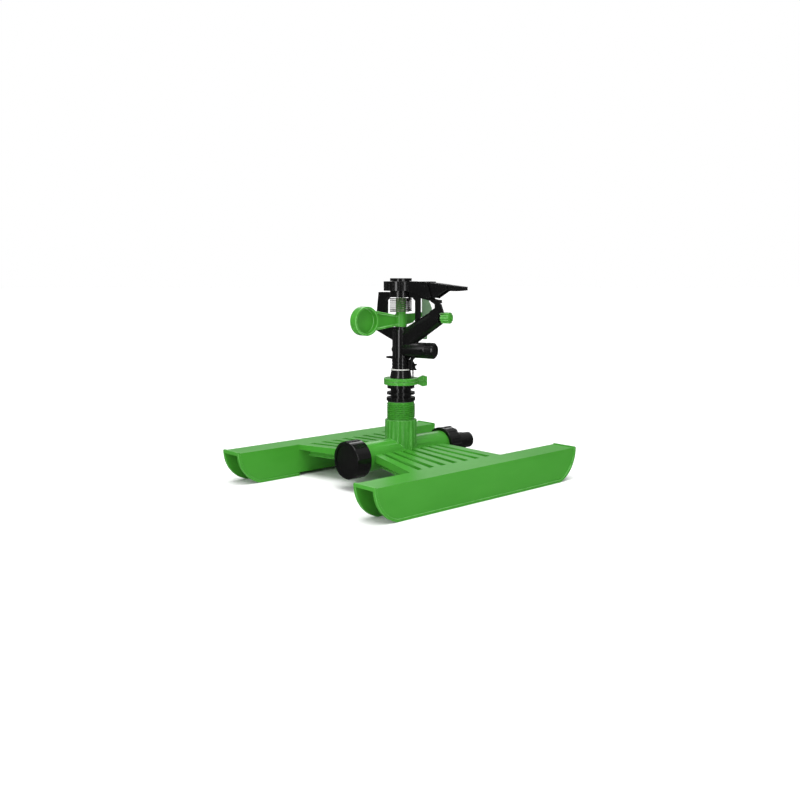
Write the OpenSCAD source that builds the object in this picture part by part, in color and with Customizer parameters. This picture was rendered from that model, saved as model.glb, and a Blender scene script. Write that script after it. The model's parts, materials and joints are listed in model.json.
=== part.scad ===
// Impact sprinkler on a sled base. Millimetres, +Z up, runners along X, origin on the ground under the riser.

/* [Sled base] */
// Length of each runner
runner_len = 250; // [220:1:300]
// Distance between the two runners' centre lines
runner_spacing = 187.2; // [180:0.2:200]
// Width of a runner's top
runner_w = 24.5; // [22:0.5:28]
// Height of the runners
runner_h = 30; // [30:0.5:32]
// Wall thickness of the moulding
wall = 2.2; // [1.8:0.1:2.6]
// Radius of the runners' upswept ends
runner_end_r = 31; // [31:0.5:36]

/* [Water pipe] */
// Height of the pipe's centre line
pipe_z = 27.8; // [27.5:0.1:28.5]
// Outer radius of the pipe
pipe_r = 13.3; // [13.2:0.1:14]
// Radius of the water way in the pipe
pipe_bore_r = 10.4; // [9:0.1:10.6]

/* [Riser] */
// Height of the riser's top
riser_top = 74.6; // [74.6:0.1:75]
// Radius of the riser's ribbed foot
riser_foot_r = 14.1; // [13.8:0.1:14.4]
// Outer radius of the riser's thread
thread_r = 13.22; // [13:0.01:13.3]
// Pitch of the three-quarter inch thread
thread_pitch = 1.814; // [1.5:0.001:2]

/* [Head] */
// Direction of the nozzle seen from above
head_angle = -74; // [-180:1:180]
// Direction of the drive arm's spoon seen from above
arm_angle = -3; // [-40:1:60]
// Direction of the stop collars' tabs seen from above
collar_angle = -42; // [-180:1:180]
// Upward angle of the barrel
barrel_tilt = 30; // [28:0.5:31]

/* [Drive arm] */
// Distance from the pivot to the centre of the counterweight
weight_reach = 42; // [40:0.5:44]
// Outer radius of the counterweight
weight_r = 13; // [12:0.5:13]
// Number of coils in the arm's return spring
arm_coils = 8; // [6:1:9]

/* [Fits] */
// Radial clearance of the running fits
running = 0.06; // [0.03:0.01:0.09]
// Gap between faces that move past each other
face_gap = 0.3; // [0.3:0.05:0.4]

/* [Hidden] */
$fn = 64;

green = [0.30, 0.64, 0.24];
pale_green = [0.55, 0.75, 0.52];
black = [0.09, 0.09, 0.10];
white = [0.92, 0.92, 0.90];
steel = [0.72, 0.72, 0.72];
rubber = [0.05, 0.05, 0.05];

over = 1;                                   // how far a cut runs past the face it opens
runner_y = runner_spacing / 2;
runner_in = runner_y - runner_w / 2;        // inner face of a runner
top_t = 2.4;                                // runner's top plate
bead_w = 2.3;
bead_out = 0.7;
lip_h = 0.8;
inner_cut_x = 57;                           // half the length over which the inner walls are shorter
arc_x = runner_len / 2 - runner_end_r;      // where an upswept end begins

// Deck between a runner and the pipe: X of its edges at the runner and at the pipe
deck_drop = 10.8;                             // depth of the deck with its skirt
deck_slab = 5;                              // depth of the ribbed slab above the skirt
skirt_in = 8;                             // how far the skirt stands in from the slab's edge
deck_rise = 1.8;                            // how much higher the deck stands at the pipe
deck_pipe_y = pipe_r - 2;
deck_pipe_x = [-43, 42];
near_deck_x = [-65.5, 46.5];
far_deck_x = [-57, 48];
valleys = 7;
valley_d = 2.6;
valley_share = 0.42;                        // valley width as a share of the rib spacing

pipe_x = [-61, 59.4];
stub_len = [11, 8.1];                       // threaded length at each end of the pipe
washer_t = 1.9;

riser_thread_z = 58;
riser_bore_r = 10.55;
riser_ribs = 20;

cap_x = -66;                                // outer face of the end cap
cap_len = 16;
cap_r = 16.1;
cap_lobes = 10;

nut_x = 51.5;                               // inner face of the hose connector's nut
nut_len = 14.5;
nut_r = 15.6;
spigot_r = 8.9;
nose_r = 7.6;                               // the part that enters a quick connector
groove_r = 7.2;
collar_end_x = 69.7;                        // stations along the spigot
second_collar_x = [72.9, 81.7];
tip_x = 91.8;
hose_bore_r = 4.6;

// Heights of the bearing stack
fin_z = [75.5, 78.8, 81.4, 83.6, 87.1, 90.35];
fin_r = [13.25, 12.9, 12.6];
collar_r = 15.7;
neck_r = 9.5;
collar_t = 2.75;
collar_z = [fin_z[5] + face_gap, fin_z[5] + face_gap + collar_t + face_gap];
cone_z = [collar_z[1] + collar_t + face_gap, 103.8];
tab_n = 2.6;                                // half the width of a collar's tab
washer_z = [cone_z[1] + 0.08, 104.9];
sleeve_z = [104.9, 113.9];
sleeve_r = 8.3;
plate_z = [113.9, 115.25];
spindle_r = 5.6;
spindle_bore_r = 4.2;
shank_r = 10.46;
shank_z = 61;
spindle_z = [shank_z - 5.2, 127];
flange_r = 8.8;                             // flange that holds the spindle down against the water
bearing_bore_r = spindle_r + running;

stem_r = 7.4;
stem_z = [115.3, 141];
trip_z = 122.6;                             // height of the trip's axis
trip_r = 7.2;
trip_a = [5, 28.4];
finger_a = 12.9;
finger_r = 0.65;
barrel_z = 131;                             // where the barrel's axis meets the stem's
barrel_len = 45;
jet_up = 4.2;                               // how far the jet's hole lies above the barrel's axis
jet_r = 2.4;                                // outer radius of the nozzle insert
screw_r = 1.6;
screw_in = 6;                               // how far the breaker screw reaches behind its knob
yoke_n = 3;                                 // half the depth of the yoke's legs
yoke_top = [170.5, 175];
pin_r = 1.5;

hub_z = [143.7, 155.2];
weight_z = 149.9;
weight_t = 8.4;
bar_n = 1.4;                                // half the thickness of the spoon's bar
vane_t = 1.2;

knob_z = 152.6;
knob_a = 43.2;
knob_len = 8.2;
knob_r = 4.2;

hinge_a = 28;
hinge_z = 180.3;
ring_z = [176.3, 184.8];
ring_r = 15.2;
cap_skirt_r = 8.14;

// A plain tube
module tube(ro, ri, h) {
    difference() {
        cylinder(r = ro, h = h);
        translate([0, 0, -over]) cylinder(r = ri, h = h + 2 * over);
    }
}

// A round outline with equally spaced bars across it
module ribbed(r, n, w, out) {
    circle(r = r);
    for (i = [0 : n - 1]) rotate(i * 360 / n) translate([0, -w / 2]) square([r + out, w]);
}

// Lays a solid made along Z along +X
module along_x() { rotate([0, 90, 0]) children(); }

// Extrudes a side view, drawn as X and Z, to the given half width each side of Y = 0
module side(half) { rotate([90, 0, 0]) translate([0, 0, -half]) linear_extrude(2 * half) children(); }

module in_head() { rotate([0, 0, head_angle]) children(); }
module in_arm() { rotate([0, 0, arm_angle]) children(); }

// ---------------------------------------------------------------- base

// A runner's side outline, with its upswept ends, down to a given height
module runner_outline(inset) {
    intersection() {
        translate([-runner_len / 2, inset]) square([runner_len, runner_h - inset]);
        union() {
            translate([-arc_x, inset]) square([2 * arc_x, runner_h - inset]);
            for (s = [-1, 1]) translate([s * arc_x, runner_h]) circle(r = runner_end_r - inset, $fn = 96);
        }
    }
}

module runner() {
    for (s = [-1, 1]) {
        translate([0, s * (runner_w / 2 - wall / 2), 0]) side(wall / 2) runner_outline(0);
        translate([0, s * (runner_w / 2 + bead_out / 2 - 0.05), 0]) side(bead_out / 2 + 0.05)
            difference() { runner_outline(0); runner_outline(bead_w); }
    }
    translate([-runner_len / 2, -runner_w / 2, runner_h - top_t]) cube([runner_len, runner_w, top_t]);
    for (s = [-1, 1]) translate([s * (runner_len / 2 - 1) - 1, -runner_w / 2, runner_h - over])
        cube([2, runner_w, lip_h + over]);
}

// Plan of one deck half, from the pipe towards -Y; m draws it in by that much all round
module deck_plan(xr, m) {
    polygon([[deck_pipe_x[0] + m, -deck_pipe_y], [xr[0] + m, -runner_in - wall / 2 + m],
        [xr[1] - m, -runner_in - wall / 2 + m], [deck_pipe_x[1] - m, -deck_pipe_y]]);
}

// Everything under the deck's top, which slopes up to the pipe, lowered by d
module under_deck_top(d) {
    rotate([90, 0, 90]) translate([0, 0, -runner_len / 2]) linear_extrude(runner_len)
        polygon([[-runner_in - wall, -over], [0, -over], [0, runner_h + deck_rise - d],
            [-deck_pipe_y, runner_h + deck_rise - d], [-runner_in, runner_h - d],
            [-runner_in - wall, runner_h - d]]);
}

module deck(xr) {
    difference() {
        intersection() {
            union() {
                translate([0, 0, runner_h - deck_slab]) linear_extrude(deck_slab + deck_rise) deck_plan(xr, 0);
                translate([0, 0, runner_h - deck_drop]) linear_extrude(deck_drop) deck_plan(xr, skirt_in);
                translate([0, 0, runner_h - deck_drop]) linear_extrude(1.4) deck_plan(xr, skirt_in - 0.8);
            }
            under_deck_top(0);
        }
        difference() {
            linear_extrude(runner_h + 3 * over) deck_valleys(xr);
            under_deck_top(valley_d);
        }
        linear_extrude(runner_h - valley_d - wall) deck_plan(xr, skirt_in + wall);
    }
}

module deck_valleys(xr) {
    span_p = (deck_pipe_x[1] - deck_pipe_x[0]) / (valleys + 1);
    span_r = (xr[1] - xr[0]) / (valleys + 1);
    hp = span_p * valley_share / 2;
    hr = span_r * valley_share / 2;
    for (i = [1 : valleys]) {
        xp = deck_pipe_x[0] + i * span_p;
        x1 = xr[0] + i * span_r;
        polygon([[xp - hp, -deck_pipe_y + 3], [x1 - hr, -runner_in + 2.2], [x1 + hr, -runner_in + 2.2], [xp + hp, -deck_pipe_y + 3]]);
    }
}

// Rings that stand in for a screw thread, along Z from 0 to h
module thread_rings(r, depth, pitch, h) {
    n = floor(h / pitch);
    rotate_extrude() polygon(concat([[0, 0]],
        [for (i = [0 : n - 1], k = [0 : 3]) [r - (k == 0 || k == 3 ? depth : 0), i * pitch + [0.1, 0.42, 0.58, 0.9][k] * pitch]],
        [[r - depth, h], [0, h]]));
}

module sled_base() color(green) {
    difference() {
        union() {
            for (s = [-1, 1]) translate([0, s * runner_y, 0]) difference() {
                runner();
                // the inner wall stands a little clear of the ground beside the deck
                translate([-inner_cut_x, s < 0 ? runner_w / 2 - wall - 0.5 : -runner_w / 2 - 1.5, -over]) cube([2 * inner_cut_x, wall + 2, 3 + over]);
            }
            deck(near_deck_x);
            mirror([0, 1, 0]) deck(far_deck_x);
            // pipe and its threaded ends
            translate([pipe_x[0] + stub_len[0], 0, pipe_z]) along_x()
                cylinder(r = pipe_r, h = pipe_x[1] - pipe_x[0] - stub_len[0] - stub_len[1], $fn = 96);
            translate([pipe_x[0], 0, pipe_z]) along_x() thread_rings(thread_r, 0.9, thread_pitch, stub_len[0] + over);
            translate([pipe_x[1], 0, pipe_z]) rotate([0, -90, 0]) thread_rings(thread_r, 0.9, thread_pitch, stub_len[1] + over);
            // riser
            translate([0, 0, pipe_z]) linear_extrude(riser_thread_z - pipe_z) ribbed(riser_foot_r, riser_ribs, 1.5, 0.6);
            translate([0, 0, riser_thread_z - over]) cylinder(r = thread_r - 1.1, h = riser_top - riser_thread_z + over);
            translate([0, 0, riser_thread_z + 0.6]) thread_rings(thread_r, 1.1, thread_pitch, riser_top - riser_thread_z - 0.6);
        }
        translate([pipe_x[0] - over, 0, pipe_z]) along_x() cylinder(r = pipe_bore_r, h = pipe_x[1] - pipe_x[0] + 2 * over);
        translate([0, 0, pipe_z]) cylinder(r = pipe_bore_r - 0.4, h = riser_top - pipe_z);
        translate([0, 0, shank_z - 2]) cylinder(r = riser_bore_r, h = riser_top - shank_z + 2 + over);
    }
}

module end_cap() color(black) {
    translate([cap_x, 0, pipe_z]) along_x() difference() {
        union() {
            translate([0, 0, 1]) linear_extrude(cap_len - 2.2) ribbed(cap_r, cap_lobes, 5.2, 0.95);
            cylinder(r = cap_r + 0.5, h = cap_len - 0.2);
        }
        translate([0, 0, -over]) cylinder(r = cap_r - 2.2, h = over + 0.7);
        translate([0, 0, 3]) cylinder(r = thread_r + 0.08, h = cap_len);
    }
}

module end_cap_washer() color(rubber)
    translate([cap_x + 3.05, 0, pipe_z]) along_x() tube(thread_r - 0.2, 7, washer_t);

module hose_connector() color(black) {
    nut_end = nut_x + nut_len;
    difference() {
        union() {
            translate([nut_x, 0, pipe_z]) along_x() {
                linear_extrude(nut_len) ribbed(nut_r, 12, 3.4, 0.6);
                cylinder(r = nut_r + 0.75, h = 2.2);
            }
            translate([nut_end, 0, pipe_z]) along_x() cylinder(r1 = nut_r - 0.4, r2 = spigot_r + 1, h = 1.6);
            // quick-connect spigot: collar, groove, second collar, nose
            translate([nut_end, 0, pipe_z]) along_x() cylinder(r = spigot_r, h = collar_end_x - nut_end);
            translate([nut_end, 0, pipe_z]) along_x() cylinder(r = groove_r, h = second_collar_x[0] - nut_end + over);
            translate([second_collar_x[0], 0, pipe_z]) along_x()
                cylinder(r = spigot_r - 0.4, h = second_collar_x[1] - second_collar_x[0]);
            translate([second_collar_x[1] - over, 0, pipe_z]) along_x() cylinder(r = nose_r, h = tip_x - second_collar_x[1]);
            translate([tip_x - 1, 0, pipe_z]) along_x() cylinder(r1 = nose_r, r2 = nose_r - 1, h = 1);
        }
        translate([nut_x - over, 0, pipe_z]) along_x() cylinder(r = thread_r + 0.08, h = nut_len + over - 1.2);
        translate([nut_x, 0, pipe_z]) along_x() cylinder(r = hose_bore_r, h = tip_x - nut_x + over);
    }
}

module connector_washer() color(rubber)
    translate([pipe_x[1] + 0.05, 0, pipe_z]) along_x() tube(thread_r - 0.2, 6.5, washer_t);

// ---------------------------------------------------------------- bearing

module bearing_body() color(black) {
    difference() {
        union() {
            translate([0, 0, shank_z]) thread_rings(shank_r, 0.6, thread_pitch, fin_z[0] - shank_z);
            translate([0, 0, shank_z]) cylinder(r = shank_r - 0.6, h = fin_z[0] - shank_z + over);
            translate([0, 0, fin_z[0]]) linear_extrude(fin_z[1] - fin_z[0]) ribbed(fin_r[0] - 0.55, 16, 1.8, 0.55);
            translate([0, 0, fin_z[2]]) cylinder(r = fin_r[1], h = fin_z[3] - fin_z[2]);
            translate([0, 0, fin_z[4]]) cylinder(r = fin_r[2], h = fin_z[5] - fin_z[4]);
            translate([0, 0, fin_z[0]]) cylinder(r = neck_r, h = cone_z[0] - fin_z[0]);
            translate([0, 0, fin_z[0]]) cylinder(r = 7.2, h = cone_z[1] - fin_z[0]);
        }
        translate([0, 0, shank_z - over]) cylinder(r = bearing_bore_r, h = cone_z[1] - shank_z + 2 * over);
    }
}

module bearing_seal() color(rubber)
    translate([0, 0, riser_top + 0.02]) tube(12.0, shank_r + 0.1, fin_z[0] - riser_top - 0.04);

module cone_bush() color(black)
    translate([0, 0, cone_z[0]]) difference() {
        cylinder(r1 = 10.1, r2 = 8.85, h = cone_z[1] - cone_z[0]);
        translate([0, 0, -over]) cylinder(r = 7.25, h = cone_z[1] - cone_z[0] + 2 * over);
    }

// A friction ring with a finger tab; up is 1 if the tab thickens upwards, -1 if downwards
module stop_collar(z, up) {
    tab = [[12, 0], [24.2, 0], [24.2, 3.9], [20, 4.9], [collar_r - 0.4, collar_t], [12, collar_t]];
    translate([0, 0, z]) rotate([0, 0, collar_angle]) difference() {
        union() {
            cylinder(r = collar_r, h = collar_t);
            side(tab_n) polygon([for (p = tab) [p[0], up > 0 ? p[1] : collar_t - p[1]]]);
        }
        translate([0, 0, -over]) cylinder(r = neck_r + 0.08, h = collar_t + 2 * over);
        for (a = [60, 180, 300]) rotate(a) translate([12.6, 0, -over]) cylinder(r = 1.3, h = collar_t + 2 * over);
        // finger recess on each side of the tab
        for (n = [-1, 1]) translate([16.6, n * tab_n - 0.6, up > 0 ? 0.7 : -1.8]) cube([4, 1.2, 3.85]);
    }
}

module lower_stop_collar() color(green) stop_collar(collar_z[0], -1);
module upper_stop_collar() color(green) stop_collar(collar_z[1], 1);

// ---------------------------------------------------------------- rotating tube and its seals

module spindle() color(white) {
    difference() {
        union() {
            translate([0, 0, spindle_z[0]]) cylinder(r = flange_r, h = 2.4);
            translate([0, 0, spindle_z[0]]) cylinder(r = spindle_r, h = spindle_z[1] - spindle_z[0]);
        }
        translate([0, 0, spindle_z[0] - over]) cylinder(r = spindle_bore_r, h = spindle_z[1] - spindle_z[0] + 2 * over);
    }
}

module spindle_washer() color(rubber)
    translate([0, 0, spindle_z[0] + 2.45]) tube(flange_r, spindle_r + 0.02, shank_z - spindle_z[0] - 2.51);

module thrust_washer() color(white)
    translate([0, 0, washer_z[0]]) tube(9.2, spindle_r + 0.02, washer_z[1] - washer_z[0] - 0.02);

module spring_sleeve() color(black) {
    h = sleeve_z[1] - sleeve_z[0];
    translate([0, 0, sleeve_z[0]]) difference() {
        union() {
            cylinder(r = sleeve_r - 0.55, h = h - 0.05);
            for (z = [0, 3.1, 6.1]) translate([0, 0, z]) cylinder(r = sleeve_r, h = 2.2);
        }
        translate([0, 0, -over]) cylinder(r = sleeve_r - 1.3, h = h - 1.2 + over);
        cylinder(r = spindle_r + 0.02, h = h + over);
    }
}

// Rings joined by one thin post stand in for a coil spring, centred on Z
module coil_rings(mean_r, wire_r, z0, z1, n) {
    step = (z1 - z0 - 2 * wire_r) / (n - 1);
    for (i = [0 : n - 1]) translate([0, 0, z0 + wire_r + i * step])
        rotate_extrude($fn = 48) translate([mean_r, 0]) circle(r = wire_r, $fn = 14);
    translate([mean_r, 0, z0 + wire_r]) cylinder(r = wire_r * 0.8, h = z1 - z0 - 2 * wire_r, $fn = 16);
}

module bearing_spring() color(steel) coil_rings(6.35, 0.5, sleeve_z[0] + 0.1, sleeve_z[1] - 1.4, 5);

module retaining_plate() color(black)
    in_head() difference() {
        union() {
            translate([0, 0, plate_z[0]]) cylinder(r = 8.7, h = plate_z[1] - plate_z[0] - 0.05);
            side(3) polygon([[-14.8, 115.1], [-13.6, 116.1], [-8.4, 116.1], [-8.1, plate_z[1] - 0.05], [-7, plate_z[1] - 0.05],
                [-7, plate_z[0]], [-13.6, plate_z[0] + 0.2]]);
        }
        translate([0, 0, plate_z[0] - over]) cylinder(r = spindle_r + 0.02, h = 4);
    }

// ---------------------------------------------------------------- head

// An oval bar that starts on the stem's axis at height z and rises at the given angle
module barrel_shape(z, tilt, h, half_w, half_h) {
    translate([0, 0, z]) rotate([0, 90 - tilt, 0]) linear_extrude(h) {
        square([2 * (half_h - half_w), 2 * half_w], center = true);
        for (s = [-1, 1]) translate([s * (half_h - half_w), 0]) circle(r = half_w);
    }
}

module head_solid() {
    // stem with shallow ribs
    translate([0, 0, stem_z[0]]) linear_extrude(stem_z[1] - stem_z[0]) ribbed(stem_r, 10, 1.6, 0.5);
    // platform, rear leg, top bar, front leg and the beam to the bracket
    side(yoke_n) polygon([[-26.2, 140.2], [-7, 131], [6, 131], [14, 137], [14, 143], [-15.6, 143], [-15.4, 167.4],
        [-12.4, 170.5], [13.4, 170.5], [16.6, 167.6], [16.6, 143], [19.5, 146], [19.5, 170.4], [38, 166.2],
        [38, 168.6], [33.5, 169.6], [27, 172], [21, 175], [-22.4, 175]]);
    barrel_shape(barrel_z, barrel_tilt, barrel_len, 5.5, 7.5);
    barrel_shape(barrel_z - 4.5, barrel_tilt + 4.5, barrel_len + 1.5, 5.3, 7.5);
    // front bracket, on the side away from the spoon so that the jet stays open
    translate([0, -1.25, 0]) side(4.25) polygon([[34, 167.2], [36.6, 165.6], [41.4, 165.6], [41.2, 168.4], [34, 168.8]]);
    translate([0, -4.4, 0]) side(1.1) polygon([[33, 152], [41.5, 151], [42.2, 156.9], [46.8, 157.5], [44.4, 164.6],
        [43, 165.8], [42.6, 168.4], [36.6, 168.6], [36.6, 165.8], [38.2, 164.6], [38.2, 161.4], [33, 158]]);
    // spring seat
    translate([0, 0, yoke_top[0]]) cylinder(r = 11.2, h = yoke_top[1] - yoke_top[0]);
    translate([0, 0, yoke_top[0]]) cylinder(r = 9.9, h = ring_z[0] - 0.06 - yoke_top[0]);
    translate([0, 0, 138]) cylinder(r = 5.4, h = hub_z[0] - 0.3 - 138);
    // trip housing, with the boss behind the stem
    translate([trip_a[0], 0, trip_z]) along_x() cylinder(r = trip_r, h = trip_a[1] - trip_a[0]);
    translate([-8.6, 0, trip_z]) along_x() cylinder(r = 2.6, h = 3);
    translate([25.4, 0, trip_z - 0.4]) rotate([90, 0, 0]) cylinder(r = 2.2, h = trip_r + 0.35);
    // boss under the barrel's end that takes the breaker screw
    translate([33, 0, knob_z]) along_x() cylinder(r = 3.6, h = knob_a - 33 - face_gap - 0.5);
}

module head_body() color(black)
    in_head() difference() {
        head_solid();
        // water way
        translate([0, 0, stem_z[0] - over]) cylinder(r = spindle_r + 0.04, h = spindle_z[1] + 0.1 - stem_z[0] + over);
        translate([0, 0, spindle_z[1]]) cylinder(r = spindle_bore_r, h = 4.4);
        translate([0, 0, barrel_z]) rotate([0, 90 - barrel_tilt, 0]) {
            cylinder(r = 4.2, h = barrel_len - 8);
            translate([-jet_up, 0, 20]) cylinder(r = jet_r + 0.03, h = barrel_len);
        }
        // pivot pin and spring cap
        translate([0, 0, 138.2]) cylinder(r = pin_r + 0.02, h = 6);
        translate([0, 0, yoke_top[0] - over]) cylinder(r = cap_skirt_r + running, h = 10);
        // trip housing
        translate([10.2, 0, trip_z]) along_x() cylinder(r = 5.7, h = trip_a[1]);
        translate([10.2, -3.9, trip_z - 10]) cube([5.6, 7.8, 8]);
        translate([7.6, 0, trip_z]) along_x() cylinder(r = 1.22, h = 4);
        translate([25.4, 0.4 - trip_r, trip_z - 0.4]) rotate([90, 0, 0]) cylinder(r = 1.1, h = 2);
        // breaker screw
        translate([knob_a - screw_in - 0.4, 0, knob_z]) along_x() cylinder(r = screw_r + running, h = 20);
    }

module nozzle() color(black)
    in_head() translate([0, 0, barrel_z]) rotate([0, 90 - barrel_tilt, 0]) translate([-jet_up, 0, barrel_len - 7])
        difference() {
            cylinder(r = jet_r, h = 7.6);
            translate([0, 0, -over]) cylinder(r = 1.9, h = 12);
            translate([0, 0, 6]) cylinder(r1 = 1.9, r2 = 2.3, h = 1.7);
        }

module trip_pin() color(steel)
    in_head() translate([7.7, 0, trip_z]) along_x() cylinder(r = 1.2, h = 22.4);

module trip_spring() color(steel)
    in_head() translate([16.2, 0, trip_z]) along_x() coil_rings(3.2, 0.4, 0, 10.4, 6);

module trip_cap() color(black)
    in_head() translate([trip_a[1], 0, trip_z]) along_x() difference() {
        union() {
            translate([0, 0, 0.05]) linear_extrude(6.2) ribbed(6.8, 18, 1.2, 0.5);
            translate([0, 0, 6.2]) cylinder(r1 = 7.1, r2 = 6, h = 1.3);
            translate([0, 0, -1]) cylinder(r = 5.66, h = 2);
        }
        translate([0, 0, -2]) cylinder(r = 1.22, h = 4);
        // screwdriver slot in a shallow dish
        translate([0, 0, 6.9]) cylinder(r = 4.8, h = 2);
        translate([-3.8, -0.6, 5.6]) cube([7.6, 1.2, 3]);
    }

module trip_lever() color(black)
    in_head() difference() {
        union() {
            translate([11.2, 0, trip_z]) along_x() cylinder(r = 5.2, h = 3.4);
            side(1.5) polygon([[11.2, trip_z], [11.2, 114.8], [9.7, 113.2], [9.7, 104.6], [10.4, 103.9], [12.4, 103.9],
                [12.4, 113.2], [14.6, 115.2], [14.6, trip_z]]);
            side(1) polygon([[12, 112.6], [13.9, 111.2], [13.9, 104.7], [13.2, 103.9], [12, 103.9]]);
            // forked catch
            side(0.7) polygon([[13, 110], [17, 110.2], [16.8, 108.8], [15.3, 108.1], [15.2, 106.4], [16.6, 105.1],
                [16.4, 104.1], [13, 104.4]]);
        }
        translate([8, 0, trip_z]) along_x() cylinder(r = 1.2 + running, h = 10);
        translate([finger_a, 0, 103]) cylinder(r = finger_r + 0.02, h = 7);
    }

module trip_finger() color(black)
    in_head() translate([finger_a, 0, 97]) cylinder(r = finger_r, h = 12.95);

// ---------------------------------------------------------------- drive arm

module pivot_pin() color(steel)
    translate([0, 0, 138.3]) cylinder(r = pin_r, h = 36);

module drive_arm() color(green)
    in_arm() difference() {
        union() {
            translate([0, 0, hub_z[0]]) cylinder(r = 5.4, h = hub_z[1] - hub_z[0]);
            // counterweight arm, an I section that deepens towards the weight
            difference() {
                side(2.5) polygon([[-3, 145], [-32, 141.1], [-32, 158.9], [-3, 153.8]]);
                for (s = [-1, 1]) translate([0, s * 2.5, 0]) side(1.6)
                    polygon([[-3, 146.6], [-33, 142.7], [-33, 157.3], [-3, 152.2]]);
            }
            translate([-weight_reach, weight_t / 2, weight_z]) rotate([90, 0, 0]) cylinder(r = weight_r, h = weight_t, $fn = 96);
            // spoon arm
            side(bar_n) polygon([[2, 145.4], [6, 145.4], [13, 146.8], [17, 150.4], [24, 151.5], [46, 151.2], [46, 156.4], [24, 156], [12, 155.2], [2, 155.2]]);
            translate([0, 0, 150.4]) linear_extrude(5.8) intersection() {
                translate([37.3, -13.6]) difference() { circle(r = 16); circle(r = 14.4); }
                translate([43.7, -11]) square([4.2, 12.4]);
            }
        }
        translate([0, 0, 142]) cylinder(r = 4.62, h = 14);
        translate([-weight_reach, weight_t / 2 - 3, weight_z]) rotate([90, 0, 0]) cylinder(r = weight_r - 1.8, h = weight_t, $fn = 96);
    }

module arm_bush() color(green)
    translate([0, 0, hub_z[0]]) tube(4.6, pin_r + running, 170 - hub_z[0]);

// A flat vane on the side of the spoon arm
module arm_vane() color(pale_green)
    in_arm() translate([0, -bar_n - vane_t / 2 - 0.05, 0]) side(vane_t / 2)
        polygon([[24, 169.9], [29.6, 169.9], [31.4, 167.4], [33.8, 163.6], [35.7, 159.8], [36, 150], [33, 141],
            [30.2, 136.4], [29.9, 130.8], [25.3, 130.8], [25.3, 138], [24, 146]]);

module arm_spring() color(steel)
    in_arm() coil_rings(9.8, 0.45, 156.8, 170.2, arm_coils);

module spring_cap() color(black)
    difference() {
        union() {
            translate([0, 0, 185.1]) cylinder(r = 9.9, h = 2.5);
            translate([0, 0, 171]) cylinder(r = cap_skirt_r, h = 14.2);
        }
        translate([0, 0, 170]) cylinder(r = pin_r + running, h = 4.6);
        translate([0, 0, 170]) difference() { cylinder(r = 6.6, h = 12); cylinder(r = 3.4, h = 12); }
        for (a = [0 : 60 : 300]) rotate(a) translate([9.2, -1, 186.2]) cube([2, 2, 2]);
    }

// ---------------------------------------------------------------- deflector

module deflector_bracket() color(black)
    in_head() difference() {
        union() {
            translate([0, 0, ring_z[0]]) linear_extrude(ring_z[1] - ring_z[0]) ribbed(ring_r, 24, 2.1, 0.5);
            translate([12, -7.7, ring_z[0] + 0.4]) cube([10.6, 15.4, ring_z[1] - ring_z[0] - 0.6]);
            for (s = [-1, 1]) translate([0, s * 6.8, 0]) side(0.9)
                polygon([[10.5, 175.4], [16, 175.4], [21, 173.4], [31, 170.4], [36, 170.4], [33.6, 177], [31.4, 183.4],
                    [29.6, 184.8], [10.5, 184.6]]);
        }
        translate([0, 0, 170]) cylinder(r = cap_skirt_r + running, h = 20);
        for (s = [-1, 1]) translate([hinge_a, 0, hinge_z]) rotate([90, 0, 0]) cylinder(r = 1.32, h = 30, center = true);
    }

module deflector_pin() color(black)
    in_head() translate([hinge_a, 0, hinge_z]) rotate([90, 0, 0]) cylinder(r = 1.3, h = 15.6, center = true);

module deflector_flap() color(black)
    in_head() difference() {
        union() {
            side(5.6) polygon([[30, 184.2], [33.2, 184.8], [33.8, 183.8], [45, 182.6], [50.4, 181.9], [50.4, 178],
                [38.2, 170.2], [37.6, 169.6], [34.5, 170.4], [30.5, 173.4], [26.5, 176.4]]);
            translate([hinge_a, 0, hinge_z]) rotate([90, 0, 0]) cylinder(r = 4.1, h = 11.2, center = true);
            side(4.6) polygon([[49.6, 182], [66, 180.2], [66, 177.1], [58.5, 176.4], [53, 176.5], [49.8, 177.7]]);
        }
        translate([hinge_a, 0, hinge_z]) rotate([90, 0, 0]) cylinder(r = 1.3 + running, h = 30, center = true);
        // the hollow underneath that bends the jet
        side(3.8) polygon([[35.4, 161], [49.4, 176.9], [46.6, 180], [35.4, 175]]);
    }

// ---------------------------------------------------------------- jet breaker

module breaker_screw() color(black)
    in_head() translate([knob_a - screw_in, 0, knob_z]) along_x() cylinder(r = screw_r, h = screw_in + 4);

module breaker_knob() color(green)
    in_head() translate([knob_a, 0, knob_z]) along_x() difference() {
        union() {
            linear_extrude(knob_len) ribbed(knob_r, 12, 1.3, 0.75);
            translate([0, 0, knob_len]) cylinder(r1 = knob_r, r2 = knob_r - 1, h = 0.9);
            translate([0, 0, knob_len]) cylinder(r = 2, h = 1.6);
        }
        translate([0, 0, -over]) cylinder(r = screw_r + running, h = 4.8 + over);
    }

sled_base();
end_cap();
end_cap_washer();
hose_connector();
connector_washer();
bearing_body();
bearing_seal();
cone_bush();
lower_stop_collar();
upper_stop_collar();
spindle();
spindle_washer();
thrust_washer();
bearing_spring();
spring_sleeve();
retaining_plate();
head_body();
nozzle();
trip_pin();
trip_spring();
trip_cap();
trip_lever();
trip_finger();
pivot_pin();
drive_arm();
arm_bush();
arm_vane();
arm_spring();
spring_cap();
deflector_bracket();
deflector_pin();
deflector_flap();
breaker_screw();
breaker_knob();
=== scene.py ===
"""The impact sprinkler's looks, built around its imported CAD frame."""
import json
import math

import bmesh
import bpy
from mathutils import Matrix, Vector
from mathutils.geometry import area_tri


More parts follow.
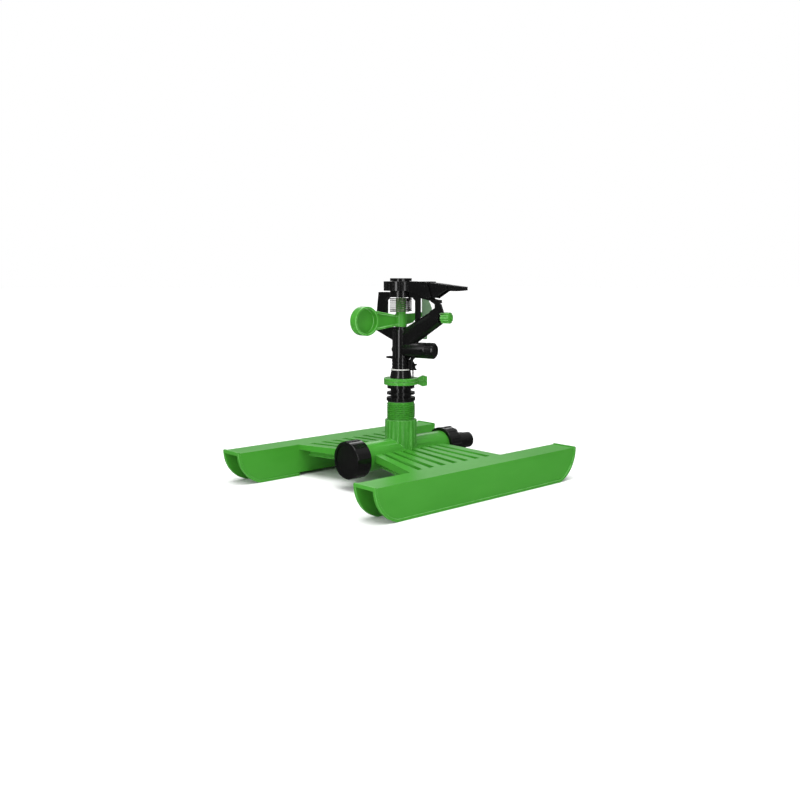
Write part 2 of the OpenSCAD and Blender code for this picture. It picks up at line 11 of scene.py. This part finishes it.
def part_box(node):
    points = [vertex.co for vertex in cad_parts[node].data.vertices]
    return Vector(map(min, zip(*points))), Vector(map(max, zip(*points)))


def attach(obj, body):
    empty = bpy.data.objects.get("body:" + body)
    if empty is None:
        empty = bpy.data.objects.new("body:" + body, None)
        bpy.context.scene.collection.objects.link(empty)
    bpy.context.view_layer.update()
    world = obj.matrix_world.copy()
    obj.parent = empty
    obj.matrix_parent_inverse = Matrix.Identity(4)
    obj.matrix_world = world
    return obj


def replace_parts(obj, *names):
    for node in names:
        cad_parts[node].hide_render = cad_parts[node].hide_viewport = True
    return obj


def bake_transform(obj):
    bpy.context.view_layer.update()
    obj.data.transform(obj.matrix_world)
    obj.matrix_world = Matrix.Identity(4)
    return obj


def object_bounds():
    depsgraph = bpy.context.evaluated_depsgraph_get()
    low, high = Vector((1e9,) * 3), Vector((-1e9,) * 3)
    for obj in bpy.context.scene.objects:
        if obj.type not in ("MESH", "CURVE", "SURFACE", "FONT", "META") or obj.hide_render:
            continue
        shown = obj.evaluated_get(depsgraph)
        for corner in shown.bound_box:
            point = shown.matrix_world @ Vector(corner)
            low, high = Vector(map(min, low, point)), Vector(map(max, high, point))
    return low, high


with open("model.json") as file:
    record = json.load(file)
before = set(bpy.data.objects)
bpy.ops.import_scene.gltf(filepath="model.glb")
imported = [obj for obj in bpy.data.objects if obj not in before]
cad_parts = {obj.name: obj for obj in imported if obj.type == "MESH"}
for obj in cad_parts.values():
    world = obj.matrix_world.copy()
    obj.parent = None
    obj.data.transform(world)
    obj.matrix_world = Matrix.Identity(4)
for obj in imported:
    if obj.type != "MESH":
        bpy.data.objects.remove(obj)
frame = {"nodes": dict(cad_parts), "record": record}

MM = 0.001
TURN = 2 * math.pi
cad_low, cad_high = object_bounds()
node_body = {node: body for body, nodes in frame["record"]["behaviour"]["bodies"].items() for node in nodes}
node_slot = {part["node"]: part["material_slot"] for part in frame["record"]["subparts"]}


# ---------------------------------------------------------------- materials

class Shader:
    """A material's node tree, with short calls for the nodes that the finishes below share."""

    def __init__(self, name):
        self.material = bpy.data.materials.new(name)
        self.material.use_nodes = True
        self.nodes = self.material.node_tree.nodes
        self.links = self.material.node_tree.links
        self.surface = self.nodes["Principled BSDF"]
        self.place = self.nodes.new("ShaderNodeTexCoord").outputs["Object"]

    def set(self, **values):
        for socket, value in values.items():
            self.surface.inputs[socket.replace("_", " ")].default_value = value

    def stretched(self, scale):
        """Object coordinates with a scale of their own along each axis."""
        mapping = self.nodes.new("ShaderNodeMapping")
        mapping.inputs["Scale"].default_value = scale
        self.links.new(self.place, mapping.inputs["Vector"])
        return mapping.outputs["Vector"]

    def noise(self, scale, detail=3.0, rough=0.5, vector=None):
        node = self.nodes.new("ShaderNodeTexNoise")
        node.inputs["Scale"].default_value = scale
        node.inputs["Detail"].default_value = detail
        node.inputs["Roughness"].default_value = rough
        self.links.new(vector or self.place, node.inputs["Vector"])
        return node.outputs["Fac"]

    def remap(self, value, low, high, to_low=0.0, to_high=1.0):
        node = self.nodes.new("ShaderNodeMapRange")
        for socket, number in zip(("From Min", "From Max", "To Min", "To Max"), (low, high, to_low, to_high)):
            node.inputs[socket].default_value = number
        self.links.new(value, node.inputs["Value"])
        return node.outputs["Result"]

    def math(self, operation, a, b):
        node = self.nodes.new("ShaderNodeMath")
        node.operation = operation
        for socket, value in zip(node.inputs, (a, b)):
            if isinstance(value, float):
                socket.default_value = value
            else:
                self.links.new(value, socket)
        return node.outputs["Value"]

    def blend(self, factor, a, b):
        """Colour a where the factor is 0 and colour b where it is 1; either may be a socket."""
        node = self.nodes.new("ShaderNodeMix")
        node.data_type = "RGBA"
        self.links.new(factor, node.inputs["Factor"])
        for socket, value in ((node.inputs[6], a), (node.inputs[7], b)):
            if isinstance(value, tuple):
                socket.default_value = (*value, 1.0)
            else:
                self.links.new(value, socket)
        return node.outputs[2]

    def worn_and_highlit_edges(self, scale):
        """1 on the stretches of a piece's rounded edges that take wear and a painted highlight, and 0 on its faces.
        """
        edge = self.nodes.new("ShaderNodeAttribute")
        edge.attribute_name = "edge"
        patches = self.remap(self.noise(scale, 4.0), 0.30, 0.55)
        return self.math("MULTIPLY", edge.outputs["Fac"], patches)

    def colour(self, socket):
        self.links.new(socket, self.surface.inputs["Base Color"])

    def roughness(self, socket):
        self.links.new(socket, self.surface.inputs["Roughness"])

    def bump(self, *layers):
        """Each layer is a height socket and its depth in millimetres."""
        normal = None
        for height, depth in layers:
            node = self.nodes.new("ShaderNodeBump")
            node.inputs["Distance"].default_value = depth * MM
            self.links.new(height, node.inputs["Height"])
            if normal is not None:
                self.links.new(normal, node.inputs["Normal"])
            normal = node.outputs["Normal"]
        self.links.new(normal, self.surface.inputs["Normal"])


def moulded(name, deep, pale, edge, rough, edge_wear_and_highlight=0.5, scuffs=True):
    """Injection-moulded plastic: flow marks in the colour, a fine skin texture, scuffs, and paler rounded edges that
    are partly wear and partly a painted highlight.
    """
    s = Shader(name)
    flow = s.remap(s.noise(14, 4.0, 0.6, s.stretched((1.0, 1.6, 3.0))), 0.32, 0.68)
    tone = s.blend(flow, deep, pale)
    # The rounded edges blend towards the edge colour: partly wear, partly a painted highlight along the edges.
    s.colour(s.blend(s.math("MULTIPLY", s.worn_and_highlit_edges(160), edge_wear_and_highlight), tone, edge))
    skin = s.noise(1900, 2.0)
    cloudy = s.remap(s.noise(38, 5.0, 0.65), 0.25, 0.75, rough * 0.92, rough * 1.18)
    if scuffs:
        streaks = s.remap(s.noise(240, 3.0, 0.7, s.stretched((0.12, 1.0, 1.0))), 0.68, 0.80, 0.0, 0.03)
        cloudy = s.math("ADD", cloudy, streaks)
    s.roughness(cloudy)
    s.bump((skin, 0.012), (s.noise(70, 3.0), 0.05))
    return s


def green_plastic():
    # The pale edge colour, at nearly full strength, is a painted highlight along the rounded edges, partly wear.
    s = moulded("green_plastic", (0.043, 0.258, 0.020), (0.052, 0.286, 0.026), (0.24, 0.58, 0.19), 0.30, 0.95)
    s.set(Specular_IOR_Level=0.38, IOR=1.46)
    return s.material


def black_plastic():
    s = moulded("black_plastic", (0.0020, 0.0020, 0.0022), (0.0038, 0.0038, 0.0038), (0.013, 0.013, 0.013), 0.17, 0.6)
    s.set(Specular_IOR_Level=0.42, IOR=1.47)
    return s.material


def pale_green_plastic():
    s = moulded("pale_green_plastic", (0.13, 0.23, 0.13), (0.18, 0.30, 0.17), (0.30, 0.42, 0.28), 0.42, 0.4, False)
    s.set(Subsurface_Weight=0.25, Subsurface_Scale=0.0012, Subsurface_Radius=(0.7, 1.0, 0.7))
    return s.material


def white_plastic():
    s = moulded("white_plastic", (0.50, 0.50, 0.48), (0.60, 0.60, 0.57), (0.70, 0.70, 0.68), 0.36, 0.4, False)
    s.set(Subsurface_Weight=0.15, Subsurface_Scale=0.0015, Subsurface_Radius=(1.0, 0.95, 0.85))
    return s.material


def steel(name, bright, dull):
    """Drawn wire and pins: fine lines round the wire, with faint darker patches."""
    s = Shader(name)
    patches = s.remap(s.noise(210, 4.0), 0.35, 0.7)
    s.colour(s.blend(patches, bright, dull))
    drawn = s.noise(2600, 2.0, 0.6, s.stretched((1.0, 1.0, 0.15)))
    s.roughness(s.remap(drawn, 0.25, 0.75, 0.17, 0.36))
    s.bump((drawn, 0.004))
    s.set(Metallic=1.0)
    return s.material


def rubber():
    s = Shader("rubber")
    bloom = s.remap(s.noise(90, 5.0, 0.65), 0.4, 0.7)
    s.colour(s.blend(bloom, (0.012, 0.012, 0.012), (0.035, 0.035, 0.033)))
    s.roughness(s.remap(s.noise(300), 0.3, 0.7, 0.6, 0.8))
    s.bump((s.noise(1400, 2.0), 0.02))
    return s.material


finish = {
    "green_plastic": green_plastic(), "black_plastic": black_plastic(),
    "pale_green_plastic": pale_green_plastic(), "white_plastic": white_plastic(),
    "steel": steel("steel", (0.66, 0.66, 0.65), (0.5, 0.49, 0.47)), "rubber": rubber(),
}
spring_steel = steel("spring_steel", (0.20, 0.185, 0.165), (0.09, 0.085, 0.075))


# ---------------------------------------------------------------- mesh work

SHARP = math.radians(28)            # an edge that turns more than this is rounded
CREASE = math.radians(33)           # an edge that turns more than this shades as a crease
WELD = 0.002 * MM                   # a CAD node's corners closer than this are one
FLAT = math.radians(0.6)            # faces that meet at less than this are one
FOLD = 0.05 * MM ** 2               # a face that fills by more than this beyond its own area is folded
ROOM = 2.3                          # a face narrower than this many radii keeps its edges sharp
SPARED = (0, 2.5, 6, 16, math.inf)  # edges shorter than this many radii stay sharp, step by step
LAST_STEP = len(SPARED) - 1
SHARES = (1.0, 0.75, 0.5, 0.3)      # the parts of the wanted radius that are tried
TRIES = 16                          # how often a share is tried, with more edges left sharp each time
ENOUGH = 0.85                       # a share that rounds more than this part of the edge length is taken


def merged_copy(node):
    """A CAD node's mesh with its triangles merged into flat faces."""
    bm = bmesh.new()
    bm.from_mesh(frame["nodes"][node].data)
    bmesh.ops.remove_doubles(bm, verts=bm.verts, dist=WELD)
    bmesh.ops.dissolve_limit(bm, angle_limit=FLAT, verts=bm.verts, edges=bm.edges)
    return bm


def face_width(face):
    """The mean width of a long face."""
    return 2 * face.calc_area() / face.calc_perimeter()


def folded_faces(bm):
    """The faces whose outline crosses itself: filled with triangles, they cover more than their own area."""
    filled = dict.fromkeys(bm.faces, 0.0)
    for corners in bm.calc_loop_triangles():
        filled[corners[0].face] += area_tri(*(corner.vert.co for corner in corners))
    return [face for face, area in filled.items() if area > face.calc_area() + FOLD]


def bevelled(bm, radius, step):
    """A copy with its sharp edges rounded, and the length of those edges.

    step gives, for a source face, the place in SPARED of the shortest edge that is still rounded there."""
    made = bm.copy()
    mark = made.faces.layers.float.new("edge")
    source = made.faces.layers.int["source"]
    wide = {face: face_width(face) > ROOM * radius for face in made.faces}
    shortest = {face: SPARED[step.get(face[source], 0)] * radius for face in made.faces}
    edges = [e for e in made.edges if len(e.link_faces) == 2 and e.calc_face_angle(0) > SHARP
             and all(wide[f] and e.calc_length() >= shortest[f] for f in e.link_faces)]
    length = sum(e.calc_length() for e in edges)
    if edges:
        low = [min(v.co[axis] for v in made.verts) for axis in range(3)]
        high = [max(v.co[axis] for v in made.verts) for axis in range(3)]
        rounded = bmesh.ops.bevel(made, geom=edges, offset=radius, offset_type="OFFSET", segments=2, profile=0.5,
                                  affect="EDGES", clamp_overlap=False, miter_outer="SHARP", miter_inner="SHARP")
        for face in rounded["faces"]:
            face[mark] = 1.0
        for vert in made.verts:         # a mitred corner may not reach past the solid
            vert.co = [min(max(c, a), b) for c, a, b in zip(vert.co, low, high)]
    return made, length


def round_edges(bm, radius):
    """A copy with rounded sharp edges, whose new faces are marked in the attribute "edge".

    Where the rounding would fold a face, that face's short edges stay sharp, then its longer ones. A piece that
    loses many gets a smaller radius."""
    source = bm.faces.layers.int.new("source")
    for number, face in enumerate(bm.faces):
        face[source] = number
    best = None
    for share in SHARES:
        step = {}
        for attempt in range(TRIES):
            made, length = bevelled(bm, radius * share, step)
            if attempt == 0:
                wanted = max(length, MM)
            folded = folded_faces(made)
            if not folded:
                break
            source = made.faces.layers.int["source"]
            caught = {face[source] for face in folded}
            if all(step.get(number, 0) == LAST_STEP for number in caught):
                caught = {near[source] for face in folded for vert in face.verts for near in vert.link_faces}
            for number in caught:
                step[number] = min(step.get(number, 0) + 1, LAST_STEP)
        if not folded and (best is None or length / wanted > best[0]):
            best = (length / wanted, made)
        if best and best[0] > ENOUGH:
            break
    if best:
        made = best[1]
    else:
        made, length = bevelled(bm, radius, dict.fromkeys(range(len(bm.faces)), LAST_STEP))
    made.faces.layers.int.remove(made.faces.layers.int["source"])
    return made


def piece(name, bm, slot, body):
    """Turns a bmesh into a smooth-shaded object that rides on a CAD body."""
    mesh = bpy.data.meshes.new(name)
    bm.normal_update()
    bm.to_mesh(mesh)
    bm.free()
    mesh.shade_smooth()
    mesh.set_sharp_from_angle(angle=CREASE)
    obj = bpy.data.objects.new(name, mesh)
    bpy.context.scene.collection.objects.link(obj)
    mesh.materials.append(finish[slot])
    weighted = obj.modifiers.new("weighted", "WEIGHTED_NORMAL")
    weighted.keep_sharp = True
    if body:
        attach(obj, body)
    return obj


def rounded_node(node, radius, name, change=None):
    """Stands for one CAD node: the same solid with rounded edges. change edits its mesh before the rounding."""
    bm = merged_copy(node)
    if change:
        change(bm)
    bm = round_edges(bm, radius * MM)
    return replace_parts(piece(name, bm, node_slot[node], node_body[node]), node)


# ---------------------------------------------------------------- threads and springs

def smooth_step(t):
    t = min(max(t, 0.0), 1.0)
    return t * t * (3 - 2 * t)


def sweep(rings):
    """Joins equal rings of points into a tube with closed ends."""
    bm = bmesh.new()
    loops = [[bm.verts.new(p) for p in ring] for ring in rings]
    for a, b in zip(loops, loops[1:]):
        for i in range(len(a)):
            j = (i + 1) % len(a)
            bm.faces.new((a[i], a[j], b[j], b[i]))
    bm.faces.new(loops[0])
    bm.faces.new(reversed(loops[-1]))
    bmesh.ops.recalc_face_normals(bm, faces=bm.faces)
    return bm


def thread_ridge(root, crest, pitch, low, high, steps=72):
    """A right-handed thread's ridge round Z, running out to nothing over half a turn at both ends."""
    turns = (high - low) / pitch
    count = int(turns * steps)
    rings = []
    for i in range(count + 1):
        turn = i / steps
        z = low + turn * pitch
        grow = smooth_step(2 * min(turn, turns - turn) + 0.02)
        outer = root + (crest - root) * grow
        profile = ((root - 0.25, -0.42), (outer, -0.10), (outer, 0.10), (root - 0.25, 0.42))
        angle = turn * TURN
        rings.append([Vector((r * math.cos(angle), r * math.sin(angle), z + k * pitch)) * MM for r, k in profile])
    return sweep(rings)


def tube_along(points, radius, sides=12):
    """A round wire along a smooth line of points."""
    rings = []
    normal = Vector((0, 0, 1))
    for i, point in enumerate(points):
        ahead = (points[min(i + 1, len(points) - 1)] - points[max(i - 1, 0)]).normalized()
        normal = (normal - ahead * normal.dot(ahead)).normalized()
        side = ahead.cross(normal)
        rings.append([point + (normal * math.cos(a) + side * math.sin(a)) * radius
                      for a in (TURN * k / sides for k in range(sides))])
    return sweep(rings)


def coil_points(mean_r, low, high, turns, steps=40):
    """The line of a compression spring round Z whose first and last turns lie closed."""
    points = []
    count = int(turns * steps)
    for i in range(count + 1):
        turn = i / steps
        share = smooth_step(0.5 + (turn / turns - 0.5) * 1.06)
        even = turn / turns
        z = low + (high - low) * (0.72 * even + 0.28 * share)
        angle = turn * TURN
        points.append(Vector((mean_r * math.cos(angle), mean_r * math.sin(angle), z)))
    return points


def coil_for(node, name, wire_r, turns, length, body, axis=Matrix()):
    """A real helix in place of a CAD spring. axis turns the coil from Z to the spring's own direction."""
    low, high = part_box(node)
    centre = (low + high) / 2
    reach = (high.z - low.z if axis != Matrix() else high.x - low.x) / 2
    half = length / 2 - wire_r
    line = [centre + (axis @ p) for p in coil_points(reach - wire_r, -half, half, turns)]
    coil = piece(name, tube_along(line, wire_r), "steel", body)
    coil.data.materials[0] = spring_steel
    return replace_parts(coil, node)


# ---------------------------------------------------------------- the sled

THREAD_ROOT = 12.12                 # riser thread, in mm
THREAD_CREST = 13.22
THREAD_PITCH = 1.814
THREAD_LOW = 58.6
riser_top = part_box("bearing_seal")[0].z / MM


def strip_thread(bm):
    """Leaves a plain core where the riser's thread stands."""
    for vert in bm.verts:
        radius = math.hypot(vert.co.x, vert.co.y) / MM
        if THREAD_LOW - 0.4 < vert.co.z / MM < riser_top - 0.1 and THREAD_ROOT + 0.02 < radius < THREAD_CREST + 0.2:
            vert.co.x *= THREAD_ROOT / radius
            vert.co.y *= THREAD_ROOT / radius
    bmesh.ops.dissolve_limit(bm, angle_limit=FLAT, verts=bm.verts, edges=bm.edges)
    bmesh.ops.dissolve_degenerate(bm, dist=0.01 * MM, edges=bm.edges)


rounded_node("sled_base", 0.38, "sled_base_finished", strip_thread)
ridge = thread_ridge(THREAD_ROOT, THREAD_CREST, THREAD_PITCH, THREAD_LOW + 0.6, riser_top - 0.9)
piece("riser_thread", ridge, "green_plastic", "base")


# ---------------------------------------------------------------- springs

NOZZLE_WAY = Matrix.Rotation(math.radians(-74), 4, "Z") @ Matrix.Rotation(math.radians(90), 4, "Y")

arm_low, arm_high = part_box("arm_spring")
arm_coil = coil_for("arm_spring", "arm_return_coil", 0.45 * MM, 8, arm_high.z - arm_low.z, None)
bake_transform(arm_coil)
bearing_low, bearing_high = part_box("bearing_spring")
coil_for("bearing_spring", "bearing_coil", 0.5 * MM, 4, bearing_high.z - bearing_low.z, "head")
coil_for("trip_spring", "trip_coil", 0.4 * MM, 6, 10.4 * MM, "head", NOZZLE_WAY)


# ---------------------------------------------------------------- every other CAD node, with rounded edges

edge_radius = {
    "end_cap": 0.5, "end_cap_washer": 0.2, "hose_connector": 0.35, "connector_washer": 0.2,
    "bearing_body": 0.3, "bearing_seal": 0.1, "cone_bush": 0.25, "lower_stop_collar": 0.3,
    "upper_stop_collar": 0.3, "spindle": 0.2, "spindle_washer": 0.2, "thrust_washer": 0.25,
    "spring_sleeve": 0.25, "retaining_plate": 0.2, "head_body": 0.35, "nozzle": 0.1, "trip_pin": 0.15,
    "trip_cap": 0.3, "trip_lever": 0.25, "trip_finger": 0.08, "pivot_pin": 0.15, "drive_arm": 0.35,
    "arm_bush": 0.2, "arm_vane": 0.25, "spring_cap": 0.3, "deflector_bracket": 0.35, "deflector_pin": 0.12,
    "deflector_flap": 0.4, "breaker_screw": 0.12, "breaker_knob": 0.3,
}
for node_name, radius_mm in edge_radius.items():
    rounded_node(node_name, radius_mm, node_name + "_finished")


# ---------------------------------------------------------------- stage, light and camera

def area_light(name, azimuth, distance, height, size, power, aim=0.1):
    """A softbox that faces the object's axis, at the height aim, from a compass direction counted from +X."""
    data = bpy.data.lights.new(name, "AREA")
    data.shape = "RECTANGLE"
    data.size, data.size_y = size
    data.energy = power
    obj = bpy.data.objects.new(name, data)
    bpy.context.scene.collection.objects.link(obj)
    turn = math.radians(azimuth)
    obj.location = (distance * math.cos(turn), distance * math.sin(turn), height)
    obj.rotation_euler = (Vector((0, 0, aim)) - obj.location).to_track_quat("-Z", "Y").to_euler()


def sky_light(strength, spread, tilt):
    """A wide, even light from above, as from a studio's ceiling."""
    data = bpy.data.lights.new("ceiling", "SUN")
    data.energy = strength
    data.angle = math.radians(spread)
    obj = bpy.data.objects.new("ceiling", data)
    bpy.context.scene.collection.objects.link(obj)
    obj.rotation_euler = [math.radians(a) for a in tilt]


def floor():
    bm = bmesh.new()
    bmesh.ops.create_circle(bm, cap_ends=True, segments=96, radius=12.0)
    mesh = bpy.data.meshes.new("floor")
    bm.to_mesh(mesh)
    bm.free()
    obj = bpy.data.objects.new("floor", mesh)
    obj.location.z = cad_low.z - 0.0001
    bpy.context.scene.collection.objects.link(obj)
    s = Shader("floor")
    s.colour(s.blend(s.noise(3.0), (0.90, 0.90, 0.90), (0.92, 0.92, 0.92)))
    s.set(Roughness=0.9, Specular_IOR_Level=0.1)
    mesh.materials.append(s.material)
    # Staging: the pieces don't mirror the white floor, so the black plastic stays dark.
    obj.visible_glossy = False


def backdrop():
    """White where it is seen directly, and a dim room with a brighter ceiling where it only lights and reflects."""
    world = bpy.data.worlds.new("studio")
    world.use_nodes = True
    nodes, links = world.node_tree.nodes, world.node_tree.links
    place = nodes.new("ShaderNodeTexCoord")
    split = nodes.new("ShaderNodeSeparateXYZ")
    links.new(place.outputs["Generated"], split.inputs["Vector"])
    ramp = nodes.new("ShaderNodeValToRGB")
    links.new(split.outputs["Z"], ramp.inputs["Fac"])
    for stop, place_on_ramp, grey in zip(ramp.color_ramp.elements, (0.0, 0.8), (0.11, 0.5)):
        stop.position = place_on_ramp
        stop.color = (grey, grey, grey, 1)
    seen = nodes.new("ShaderNodeLightPath")
    mix = nodes.new("ShaderNodeMix")
    mix.data_type = "RGBA"
    links.new(seen.outputs["Is Camera Ray"], mix.inputs["Factor"])
    links.new(ramp.outputs["Color"], mix.inputs[6])
    mix.inputs[7].default_value = (1, 1, 1, 1)
    links.new(mix.outputs[2], nodes["Background"].inputs["Color"])
    bpy.context.scene.world = world


def studio():
    """A pale floor under an even ceiling, two upright softboxes in front, a key on the left and a rim behind."""
    floor()
    backdrop()
    sky_light(2.85, 50, (12, -7, 0))
    area_light("strip_left", -163, 0.65, 0.35, (0.12, 0.68), 1.7, aim=0.35)
    area_light("strip_right", -110, 0.65, 0.35, (0.09, 0.68), 1.2, aim=0.35)
    area_light("key", 170, 1.7, 1.1, (0.9, 0.9), 4.0)
    area_light("rim", 50, 1.6, 1.0, (0.9, 0.6), 4.0)
    bpy.context.scene.view_settings.view_transform = "Standard"


def camera():
    """Low and to the left of the hose axis, as in the picture of the object."""
    azimuth, elevation = math.radians(-42.76), math.radians(6.5)
    distance, aim = 0.85488, Vector((0, 0, 0.09511))
    data = bpy.data.cameras.new("camera")
    data.lens = 41.72
    data.shift_x, data.shift_y = -0.0011, -0.0261
    data.clip_start, data.clip_end = 0.05, 20
    obj = bpy.data.objects.new("camera", data)
    bpy.context.scene.collection.objects.link(obj)
    back = Vector((math.sin(azimuth) * math.cos(elevation), -math.cos(azimuth) * math.cos(elevation),
                   math.sin(elevation)))
    obj.location = aim + back * distance
    obj.rotation_euler = (math.radians(90) - elevation, 0, azimuth)
    bpy.context.scene.camera = obj


studio()
camera()
